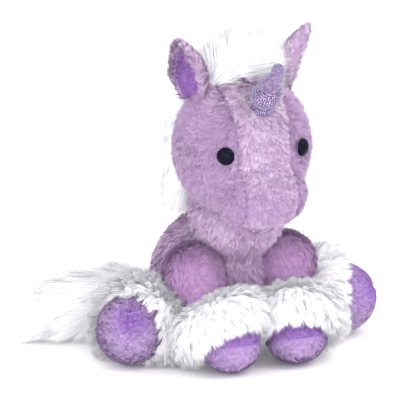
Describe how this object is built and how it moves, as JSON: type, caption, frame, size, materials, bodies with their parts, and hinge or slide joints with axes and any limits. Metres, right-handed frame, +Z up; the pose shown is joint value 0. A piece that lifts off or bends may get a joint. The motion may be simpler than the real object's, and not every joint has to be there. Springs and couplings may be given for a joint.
{
  "type": "plush unicorn",
  "caption": "Seated stuffed toy unicorn in lilac plush with a wound horn, cupped ears, velour hooves and long white fur cuffs, mane and tail.",
  "frame": {"origin": "on the surface that the toy sits on, under the middle of its seat", "axes": "+Z up, -Y the way the chest faces, -X the toy's own right side"},
  "size_m": [0.3008, 0.2208, 0.3009],
  "materials": {
    "lilac_plush": "matte",
    "frosted_plush": "matte",
    "leg_plush": "matte",
    "fibre_stuffing": "matte",
    "pellet_bag_cloth": "matte",
    "eye_plastic": "gloss",
    "washer_plastic": "satin",
    "horn_mesh": "satin",
    "horn_thread": "satin",
    "white_fur": "matte",
    "purple_velour": "matte",
    "lilac_velour": "matte"
  },
  "bodies": {
    "torso": {"torso_chest": "frosted_plush", "torso_back": "lilac_plush", "seat_panel": "lilac_plush", "torso_stuffing": "fibre_stuffing", "pellet_bag": "pellet_bag_cloth"},
    "neck": {"neck_wrap": "lilac_plush"},
    "head": {"head_gusset": "frosted_plush", "head_side_right": "lilac_plush", "head_side_left": "lilac_plush", "chin_panel": "frosted_plush", "head_stuffing": "fibre_stuffing", "eye_right": "eye_plastic", "eye_left": "eye_plastic", "eye_washers": "washer_plastic", "horn_cover": "horn_mesh", "horn_thread": "horn_thread", "horn_stuffing": "fibre_stuffing", "crest_fur": "white_fur", "mane_fur": "white_fur"},
    "ear_right": {"ear_outer_right": "leg_plush", "ear_lining_right": "purple_velour"},
    "ear_left": {"ear_outer_left": "leg_plush", "ear_lining_left": "purple_velour"},
    "foreleg_right": {"foreleg_sleeve_right": "leg_plush", "foreleg_stuffing_right": "fibre_stuffing", "foreleg_cuff_right": "white_fur", "forehoof_upper_right": "purple_velour", "forehoof_sole_right": "lilac_velour"},
    "foreleg_left": {"foreleg_sleeve_left": "leg_plush", "foreleg_stuffing_left": "fibre_stuffing", "foreleg_cuff_left": "white_fur", "forehoof_upper_left": "purple_velour", "forehoof_sole_left": "lilac_velour"},
    "hindleg_right": {"hindleg_sleeve_right": "leg_plush", "hindleg_stuffing_right": "fibre_stuffing", "hindleg_cuff_right": "white_fur", "hindhoof_upper_right": "purple_velour", "hindhoof_sole_right": "lilac_velour"},
    "hindleg_left": {"hindleg_sleeve_left": "leg_plush", "hindleg_stuffing_left": "fibre_stuffing", "hindleg_cuff_left": "white_fur", "hindhoof_upper_left": "purple_velour", "hindhoof_sole_left": "lilac_velour"},
    "tail": {"tail_core": "lilac_plush", "tail_fur": "white_fur"}
  },
  "joints": [
    {"name": "neck_turn", "type": "hinge", "parent": "torso", "child": "neck", "pos_m": [0, -0.038, 0.128], "axis": [0, 0, 1], "range_deg": [-20, 20], "stiffness_Nm_per_rad": 0.2},
    {"name": "neck_nod", "type": "hinge", "parent": "neck", "child": "head", "pos_m": [0, -0.038, 0.128], "axis": [1, 0, 0], "range_deg": [-10, 6], "stiffness_Nm_per_rad": 0.4},
    {"name": "ear_fold_right", "type": "hinge", "parent": "head", "child": "ear_right", "pos_m": [-0.04613, -0.04243, 0.23668], "axis": [0.4001, -0.9158, -0.0361], "range_deg": [-8, 25], "stiffness_Nm_per_rad": 0.01},
    {"name": "ear_fold_left", "type": "hinge", "parent": "head", "child": "ear_left", "pos_m": [0.04613, -0.04243, 0.23668], "axis": [0.4001, 0.9158, 0.0361], "range_deg": [-8, 25], "stiffness_Nm_per_rad": 0.01},
    {"name": "foreleg_lift_right", "type": "hinge", "parent": "torso", "child": "foreleg_right", "pos_m": [-0.044, -0.043, 0.079], "axis": [-1, 0, 0], "range_deg": [0, 25], "stiffness_Nm_per_rad": 0.15},
    {"name": "foreleg_lift_left", "type": "hinge", "parent": "torso", "child": "foreleg_left", "pos_m": [0.044, -0.043, 0.079], "axis": [-1, 0, 0], "range_deg": [0, 25], "stiffness_Nm_per_rad": 0.15},
    {"name": "hindleg_swing_right", "type": "hinge", "parent": "torso", "child": "hindleg_right", "pos_m": [-0.05, 0.004, 0.0325], "axis": [0, 0, -1], "range_deg": [0, 20], "stiffness_Nm_per_rad": 0.15},
    {"name": "hindleg_swing_left", "type": "hinge", "parent": "torso", "child": "hindleg_left", "pos_m": [0.05, 0.004, 0.0325], "axis": [0, 0, 1], "range_deg": [0, 20], "stiffness_Nm_per_rad": 0.15},
    {"name": "tail_swing", "type": "hinge", "parent": "torso", "child": "tail", "pos_m": [-0.008, 0.052, 0.027], "axis": [0, 0, -1], "range_deg": [0, 40], "stiffness_Nm_per_rad": 0.03}
  ]
}
